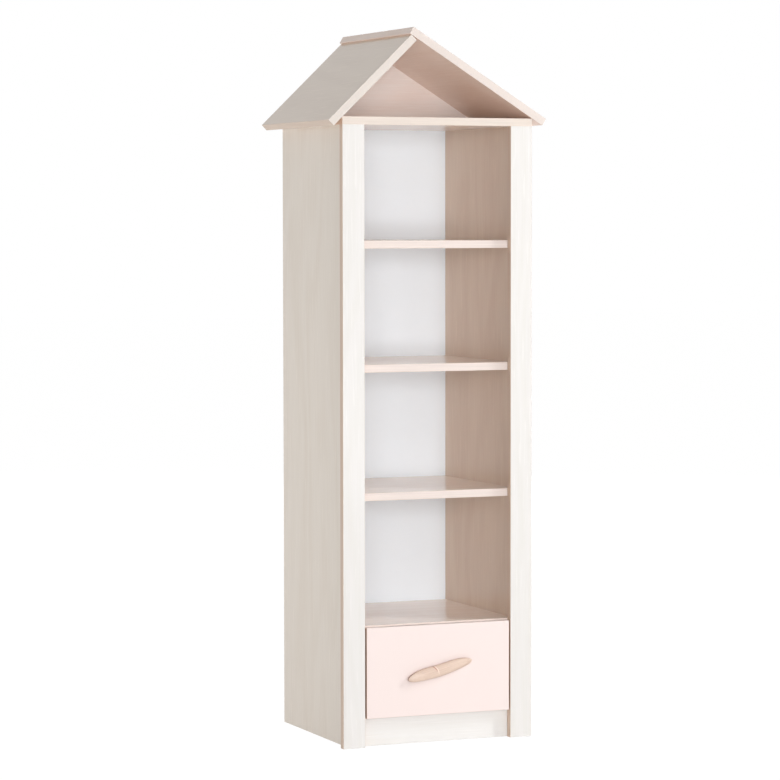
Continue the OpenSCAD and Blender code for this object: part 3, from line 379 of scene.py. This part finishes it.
def metal(name, color, rough):
    """Zinc with fine cloudy spangle and scratches."""
    s = Shader(name)
    cloud = s.noise(s.coords["Object"], SPANGLE_SCALE, detail=4.0, rough=0.6)
    scratch = s.stretched_noise(s.coords["Object"], SCRATCH_CYCLES)
    tint = s.mix(s.ramp(cloud, *SPANGLE_LIMITS), color, scaled(color, SPANGLE_GAIN))
    rough = s.vary(rough, METAL_ROUGH_SPREAD, cloud)
    return s.surface(tint, rough, scratch, METAL_BUMP_MM, Metallic=1.0)


COAT_PEEL_SCALE = 900.0
SCUFF_CYCLES, SCUFF_LIMITS, SCUFF_SHARE = (220, 9, 220), (0.58, 0.75), 0.35
COAT_ROUGH, COAT_ROUGH_SPREAD, COAT_BUMP_MM = 0.4, 0.12, 0.03


def coated_steel(name):
    """Cream epoxy powder coat, scuffed along the running faces."""
    s = Shader(name)
    peel = s.noise(s.coords["Object"], COAT_PEEL_SCALE, detail=3.0, rough=0.6)
    streaks = s.stretched_noise(s.coords["Object"], SCUFF_CYCLES, detail=3.0, rough=0.7)
    scuff = s.math("MULTIPLY", s.ramp(streaks, *SCUFF_LIMITS), SCUFF_SHARE)
    rough = s.vary(COAT_ROUGH, COAT_ROUGH_SPREAD, peel)
    return s.surface(s.mix(scuff, RUNNER, RUNNER_SCUFF), rough, peel, COAT_BUMP_MM)


NYLON_SCALE, NYLON_SHARE = 260.0, 0.4
NYLON_ROUGH, NYLON_ROUGH_SPREAD, NYLON_BUMP_MM = 0.38, 0.15, 0.02
NYLON_MILK, NYLON_MILK_DEPTH = 0.15, 0.003


def nylon(name):
    """Milky nylon with a slightly cloudy tone."""
    s = Shader(name)
    cloud = s.noise(s.coords["Object"], NYLON_SCALE, detail=3.0, rough=0.6)
    tint = s.mix(s.math("MULTIPLY", cloud, NYLON_SHARE), NYLON, NYLON_CLOUD)
    rough = s.vary(NYLON_ROUGH, NYLON_ROUGH_SPREAD, cloud)
    return s.surface(tint, rough, cloud, NYLON_BUMP_MM,
                     Subsurface_Weight=NYLON_MILK, Subsurface_Scale=NYLON_MILK_DEPTH)


# ---- Materials on the CAD nodes ----------------------------------------------------------------

LEFT_PITCH = math.radians(43.8)
RIGHT_PITCH = math.radians(31.6)
SIDES = ("left", "right")


def dress(node, material):
    """Gives every material slot of a CAD node one material."""
    obj = NODES[node]
    if not obj.material_slots:
        obj.data.materials.append(material)
    for slot in obj.material_slots:
        slot.link = "OBJECT"
        slot.material = material


def dress_carcass():
    """Side panels, stiles, shelves, boards, plinths and back. Each has a seed of its own."""
    # The stiles' narrow faces get the browner band: painted shade over real banding.
    stile_bands = [(("+x",), STILE_BAND_SHADE), (("-x",), STILE_BAND_SHADE)]
    for i, (side, out) in enumerate(zip(SIDES, ("-x", "+x"))):
        # Each side panel is lighter outside and darker inside: painted light and shade.
        dress(f"side_panel_{side}",
              melamine(f"side_{side}", "z", seed=1 + i, raw=("+y", "-z"), lit_outer=out))
        dress(f"front_stile_{side}",
              melamine(f"stile_{side}", "z", seed=5 + i, tones=STILE, bands=stile_bands,
                       raw=("-z",)))
        dress(f"runner_packer_{side}", melamine(f"packer_{side}", "y", seed=9 + i))
    # The shelves and boards take the lighter tones: painted light on their tops.
    boards = {"shelf_upper": BAND, "shelf_middle": BAND, "shelf_lower": BAND, "bottom_board": BAND,
              "drawer_top_board": BOARD_BAND}
    for i, (node, band) in enumerate(boards.items()):
        dress(node, melamine(node, "x", seed=12 + i, tones=LIT_SHELF, bands=[(("-y",), band)],
                             raw=("+y",)))
    # The top board's ends are painted browner: painted shade under the eaves.
    top_bands = [(("-y",), TOP_BAND), (("-x",), END_BAND_SHADE), (("+x",), END_BAND_SHADE)]
    dress("top_board",
          melamine("top_board", "x", seed=17, tones=LIT_SHELF, bands=top_bands, raw=("+y",)))
    dress("plinth_front", melamine("plinth_front", "x", seed=20, tones=PLINTH))
    dress("plinth_rear", melamine("plinth_rear", "x", seed=21))
    dress("back_panel", hardboard("back_panel", seed=1))


def dress_roof():
    """Roof panels with the grain from front to back, and the gable board."""
    # The eaves' end faces get a browner band: painted shade over real banding.
    left_bands = [(("-y",), LEFT_ROOF_BAND), (("-x", "-z"), EAVE_BAND_SHADE)]
    right_bands = [(("-y",), RIGHT_ROOF_BAND), (("+x", "-z"), EAVE_BAND_SHADE)]
    # The roofs and the gable take lighter tones than the inner walls: painted light.
    dress("roof_panel_left",
          melamine("roof_left", "y", seed=24, tones=LEFT_ROOF, bands=left_bands,
                   tilt=LEFT_PITCH))
    dress("roof_panel_right",
          melamine("roof_right", "y", seed=25, tones=RIGHT_ROOF, bands=right_bands,
                   tilt=-RIGHT_PITCH, dull="+z"))
    dress("gable_board", melamine("gable", "x", seed=26, tones=GABLE, raw=("+y",)))


def dress_drawer():
    """Pink front, and a melamine box with a hardboard bottom."""
    dress("drawer_front", lacquer("pink_front", PINK, PINK_EDGE_SHADE))
    for i, side in enumerate(SIDES):
        dress(f"drawer_side_{side}", melamine(f"drawer_side_{side}", "y", seed=30 + i))
    dress("drawer_back", melamine("drawer_back", "x", seed=33))
    dress("drawer_bottom", hardboard("drawer_bottom", seed=2))
    dress("handle_posts", plain_wood("handle_posts", LEAF, "y", seed=40, scale=2.0))


def dress_fittings():
    """Screws, pins, brackets, cams, dowels, runners and rollers."""
    zinc = metal("zinc", ZINC, ZINC_ROUGH)
    for node in ("packer_screws", "cabinet_runner_screws", "drawer_runner_screws", "handle_screws",
                 "top_board_screws", "roof_bracket_screws", "wall_bracket_screws",
                 "front_roller_pins", "rear_roller_pins", "roof_brackets", "wall_brackets",
                 "cam_bolts"):
        dress(node, zinc)
    dress("cam_fittings", metal("cast_zinc", CAST_ZINC, CAST_ROUGH))
    dowel = plain_wood("dowels", BEECH, "x", seed=50, scale=3.0)
    for node in ("stile_dowels", "plinth_dowels", "roof_dowels", "drawer_dowels"):
        dress(node, dowel)
    coat = coated_steel("runner_coat")
    milky = nylon("nylon")
    for side in SIDES:
        dress(f"cabinet_runner_{side}", coat)
        dress(f"drawer_runner_{side}", coat)
        dress(f"front_roller_{side}", milky)
        dress(f"rear_roller_{side}", milky)


# ---- Leaf handle -------------------------------------------------------------------------------

# Metres, with the leaf's length along X, its thickness along -Y and its width along Z
LEAF_L, LEAF_W, LEAF_T, LEAF_RIM_T = 0.165, 0.0275, 0.012, 0.005
LEAF_GAP = 0.006
LEAF_TILT = math.radians(13.4)
FULLNESS, TAPER = 3, 0.07
WAVE, WAVE_TURN = 0.0008, math.radians(288)
TIP_RIM_SHARE, TIP_CUT = 0.55, 3
EASE, EASE_SHARE = 0.0008, 0.3
LEAF_RINGS, LEAF_STEPS = 180, 44

# The crescent groove: an arc about a centre, from one angle to another in degrees
CRESCENT_R, CRESCENT_SHIFT, CRESCENT_DROP = 0.022, 0.010, 0.0027
CRESCENT_X, CRESCENT_Z = -CRESCENT_SHIFT - CRESCENT_R, -CRESCENT_DROP
CRESCENT_W, CRESCENT_D = 0.0028, 0.0009
CRESCENT_FROM, CRESCENT_TO, CRESCENT_FADE = -12, 70, 30


def crescent_depth(x, z):
    """How deep the groove cuts the leaf's front at a place along (x) and across (z) it."""
    reach = math.hypot(x - CRESCENT_X, z - CRESCENT_Z) - CRESCENT_R
    angle = math.degrees(math.atan2(z - CRESCENT_Z, x - CRESCENT_X))
    if abs(reach) > CRESCENT_W / 2 or not CRESCENT_FROM < angle < CRESCENT_TO:
        return 0.0
    fade = min(1.0, (angle - CRESCENT_FROM) / CRESCENT_FADE)
    return CRESCENT_D * fade * (1 - (2 * reach / CRESCENT_W) ** 2)


def leaf_ring(t):
    """The leaf's cross-section at station t from -1 to 1: its flat back, then over the crown."""
    k = math.sqrt(1 - abs(t) ** FULLNESS)
    half = LEAF_W / 2 * k * (1 - TAPER * t)
    rim = LEAF_RIM_T * (TIP_RIM_SHARE + (1 - TIP_RIM_SHARE) * k)
    crown = (LEAF_T - LEAF_RIM_T) * k
    x = LEAF_L / 2 * t
    mid = -WAVE * math.cos(WAVE_TURN * t)
    ease = min(EASE, half * EASE_SHARE)
    ring = [(x, 0.0, mid - half + ease), (x, -ease, mid - half)]
    for i in range(LEAF_STEPS + 1):
        a = math.pi * i / LEAF_STEPS
        z = mid - half * math.cos(a)
        y = -rim - crown * math.sin(a)
        ring.append((x, y + crescent_depth(x, z), z))
    return ring + [(x, -ease, mid + half), (x, 0.0, mid + half - ease)]


def make_leaf(front_y, middle_z):
    """The handle's finer mesh: rings along the leaf, closer together at its tips."""
    bm = bmesh.new()
    rings = []
    for i in range(LEAF_RINGS):
        angle = TIP_CUT + (180 - 2 * TIP_CUT) * i / (LEAF_RINGS - 1)
        rings.append([bm.verts.new(p) for p in leaf_ring(-math.cos(math.radians(angle)))])
    n = len(rings[0])
    for a, b in zip(rings, rings[1:]):
        for j in range(n):
            k = (j + 1) % n
            bm.faces.new((a[j], a[k], b[k], b[j]))
    bm.faces.new(list(reversed(rings[0])))
    bm.faces.new(rings[-1])
    bmesh.ops.recalc_face_normals(bm, faces=bm.faces)
    mesh = bpy.data.meshes.new("leaf_handle")
    bm.to_mesh(mesh)
    bm.free()
    for face in mesh.polygons:
        face.use_smooth = True
    leaf = bpy.data.objects.new("leaf_handle", mesh)
    bpy.context.collection.objects.link(leaf)
    leaf.matrix_world = (Matrix.Translation((0, front_y - LEAF_GAP, middle_z))
                         @ Matrix.Rotation(-LEAF_TILT, 4, "Y"))
    leaf.data.materials.append(leaf_wood())
    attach(leaf, "drawer")
    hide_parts("handle")


LEAF_CONTRAST, LEAF_ROUGH, LEAF_BUMP_MM = 1.1, 0.42, 0.08

# How many times finer than a board's the leaf's figure is
LEAF_FIGURE = (3.0, 3.0, 2.0)

# The rim's painted shade: how far a face turns from the front, and where, in metres along the
# leaf, the shade deepens at the left tip
RIM_LIMITS = (0.35, 0.85)
TIP_SHADE_SPAN = (-0.078, -0.052)

# The groove's painted shade and the painted highlight on the lip beside it, in metres from
# their middle lines
GROOVE_EDGE = (0.0006, 0.0024)
LIP_EDGE, LIP_OFFSET, LIP_SHARE = (0.0004, 0.0014), 0.0024, 0.7
GROOVE_RISE, LIP_RISE = (-0.002, 0.006), (-0.01, -0.002)
ARC_RIGHT = (-0.03, -0.02)


def leaf_wood():
    """Pale oiled wood, its grain along the leaf, with painted shade on its rim, deepest at the left
    tip.
    """
    s = Shader("leaf_wood")
    figure = wood_figure(s, s.vector("MULTIPLY", grain_space(s, "x", seed=61), LEAF_FIGURE))
    # Painted shade in the groove and a painted highlight on its lip.
    color = crescent_shade_and_highlight(s, wood_color(s, figure, LEAF, LEAF_CONTRAST))
    # Painted shade on faces that turn from the front, deepest at the left tip.
    depth = s.math("ABSOLUTE", s.split(s.coords["Normal"])[1])
    rim = s.mix(s.ramp(s.split(s.coords["Object"])[0], *TIP_SHADE_SPAN), TIP_RIM, LEAF_RIM)
    color = s.mix(s.ramp(s.math("SUBTRACT", 1.0, depth), *RIM_LIMITS), color, rim)
    return s.surface(color, LEAF_ROUGH, figure[1], LEAF_BUMP_MM)


def crescent_shade_and_highlight(s, color):
    """Paints shade in the groove towards the upper edge and a highlight on the lip to its right."""
    along, _, across = s.split(s.coords["Object"])
    centre = s.add("ShaderNodeCombineXYZ", {0: CRESCENT_X, 2: CRESCENT_Z}).outputs[0]
    flat = s.vector("MULTIPLY", s.coords["Object"], (1, 0, 1))
    distance = s.add("ShaderNodeVectorMath", {0: flat, 1: centre}, operation="DISTANCE")
    reach = distance.outputs["Value"]
    off_groove = s.math("ABSOLUTE", s.math("SUBTRACT", reach, CRESCENT_R))
    off_lip = s.math("ABSOLUTE", s.math("SUBTRACT", reach, CRESCENT_R + LIP_OFFSET))
    right = s.ramp(along, *ARC_RIGHT)
    groove = s.math("MULTIPLY", s.band(off_groove, *GROOVE_EDGE), s.ramp(across, *GROOVE_RISE))
    lip = s.math("MULTIPLY", s.band(off_lip, *LIP_EDGE), s.ramp(across, *LIP_RISE))
    # Painted shade in the groove, then a painted highlight on the lip.
    color = s.mix(s.math("MULTIPLY", groove, right), color, GROOVE_SHADE)
    share = s.math("MULTIPLY", s.math("MULTIPLY", lip, LIP_SHARE), right)
    return s.mix(share, color, LIP_HIGHLIGHT)


# ---- Stage, light and camera -------------------------------------------------------------------

FLOOR_SIZE, FLOOR_DROP = 60, 0.0005
FLOOR_WHITE, FLOOR_GLOW = 0.92, 1.07
FLOOR_CLOUD_SCALE, FLOOR_CLOUD_SHARE = 0.6, 0.1
WORLD_LIGHT, WORLD_WHITE = 0.2, 1.0


def seen_directly(tree):
    """A socket that is 1 for rays from the camera, in reflections and through glass."""
    path = tree.nodes.new("ShaderNodeLightPath").outputs
    seen = path["Is Camera Ray"]
    for kind in ("Is Glossy Ray", "Is Transmission Ray"):
        either = tree.nodes.new("ShaderNodeMath")
        either.operation = "MAXIMUM"
        tree.links.new(seen, either.inputs[0])
        tree.links.new(path[kind], either.inputs[1])
        seen = either.outputs[0]
    return seen


def make_floor():
    """A pale floor, mostly white to the camera and in reflections, that keeps its shadows."""
    bpy.ops.mesh.primitive_plane_add(size=FLOOR_SIZE, location=(0, 0, -FLOOR_DROP))
    floor = bpy.context.object
    floor.name = "floor"
    s = Shader("floor")
    cloud = s.noise(s.coords["Object"], FLOOR_CLOUD_SCALE)
    paint = s.mix(s.math("MULTIPLY", cloud, FLOOR_CLOUD_SHARE), FLOOR, FLOOR_CLOUD)
    diffuse = s.add("ShaderNodeBsdfDiffuse", {"Color": paint}).outputs[0]
    glow = s.add("ShaderNodeEmission", {"Color": WHITE, "Strength": FLOOR_GLOW}).outputs[0]
    share = s.math("MULTIPLY", seen_directly(s.tree), FLOOR_WHITE)
    both = s.add("ShaderNodeMixShader", {0: share, 1: diffuse, 2: glow}).outputs[0]
    s.tree.links.new(both, s.out.inputs[0])
    floor.data.materials.append(s.mat)


def make_world():
    """White to the camera and in reflections, and an even dim light on the object."""
    world = bpy.data.worlds.new("world")
    bpy.context.scene.world = world
    world.use_nodes = True
    tree = world.node_tree
    tree.nodes.clear()
    mix = tree.nodes.new("ShaderNodeMixShader")
    tree.links.new(seen_directly(tree), mix.inputs[0])
    lights = ((AMBIENT, WORLD_LIGHT), (WHITE, WORLD_WHITE))
    for slot, (color, strength) in enumerate(lights, start=1):
        background = tree.nodes.new("ShaderNodeBackground")
        background.inputs[0].default_value = color
        background.inputs[1].default_value = strength
        tree.links.new(background.outputs[0], mix.inputs[slot])
    out = tree.nodes.new("ShaderNodeOutputWorld")
    tree.links.new(mix.outputs[0], out.inputs[0])


MIDDLE, BASE = (0, 0, 0.85), (0, 0, 0.6)
NEUTRAL, COOL = (1, 1, 1), (0.96, 1.0, 1.04)

# Name, place, aim, width and height, watts and colour: far softboxes in front, a tall narrow key
# to the right that shadows the handle, fills beside and above on the left, and a softbox behind
LAMPS = [
    ("front", (-0.6, -8.0, 1.15), MIDDLE, (2.2, 2.2), 193, COOL),
    ("front_left", (-3.0, -6.8, 1.3), MIDDLE, (1.9, 2.2), 125, NEUTRAL),
    ("far_left", (-5.0, -5.0, 0.8), MIDDLE, (2.0, 2.0), 14, NEUTRAL),
    ("high", (-0.6, -6.5, 3.8), MIDDLE, (2.2, 2.2), 39, NEUTRAL),
    ("low", (1.2, -6.5, 0.3), BASE, (2.2, 0.5), 16, NEUTRAL),
    ("key", (2.96, -1.72, 2.15), (0, -0.2, 0.5), (0.4, 1.6), 63, (0.98, 1.0, 1.0)),
    ("left", (-2.0, 0.75, 0.78), (-0.24, 0, 0.76), (1.2, 1.2), 8.2, NEUTRAL),
    ("above_left", (-3.4, 1.4, 3.6), (-0.15, 0, 1.4), (1.6, 1.6), 12, NEUTRAL),
    ("rear", (3.4, 6.3, 2.2), MIDDLE, (2.4, 2.4), 210, NEUTRAL),
]


def make_lights():
    """Area lamps that the camera doesn't see."""
    for name, place, aim, size, watts, color in LAMPS:
        lamp = bpy.data.lights.new(name, "AREA")
        lamp.shape = "RECTANGLE"
        lamp.size, lamp.size_y = size
        lamp.energy = watts
        lamp.color = color
        obj = bpy.data.objects.new(name, lamp)
        bpy.context.collection.objects.link(obj)
        obj.location = place
        obj.rotation_euler = (Vector(aim) - Vector(place)).to_track_quat("-Z", "Y").to_euler()
        obj.visible_camera = False


CAMERA_PLACE = (-2.9082, -6.8095, 1.2089)
CAMERA_YAW, CAMERA_PITCH, CAMERA_ROLL = 22.877, -3.093, -0.071
FOCAL_PX, FRAME_PX, SENSOR_MM = 3135.8, 780, 36


def make_camera():
    """The photograph's camera, fitted to its edges: degrees right of +Y, up and rolled."""
    yaw, pitch, roll = (math.radians(a) for a in (CAMERA_YAW, CAMERA_PITCH, CAMERA_ROLL))
    ahead = Vector((math.sin(yaw) * math.cos(pitch), math.cos(yaw) * math.cos(pitch),
                    math.sin(pitch)))
    level = Vector((math.cos(yaw), -math.sin(yaw), 0))
    up = level.cross(ahead)
    right = math.cos(roll) * level + math.sin(roll) * up
    up = right.cross(ahead)
    data = bpy.data.cameras.new("camera")
    data.sensor_width = SENSOR_MM
    data.lens = FOCAL_PX / FRAME_PX * SENSOR_MM
    camera = bpy.data.objects.new("camera", data)
    bpy.context.collection.objects.link(camera)
    turn = Matrix((right, up, -ahead)).transposed().to_4x4()
    camera.matrix_world = Matrix.Translation(CAMERA_PLACE) @ turn
    bpy.context.scene.camera = camera


dress_carcass()
dress_roof()
dress_drawer()
dress_fittings()
front_low, front_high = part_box("drawer_front")
make_leaf(front_low[1], (front_low[2] + front_high[2]) / 2)
make_floor()
make_world()
make_lights()
make_camera()
bpy.context.scene.view_settings.view_transform = "Standard"
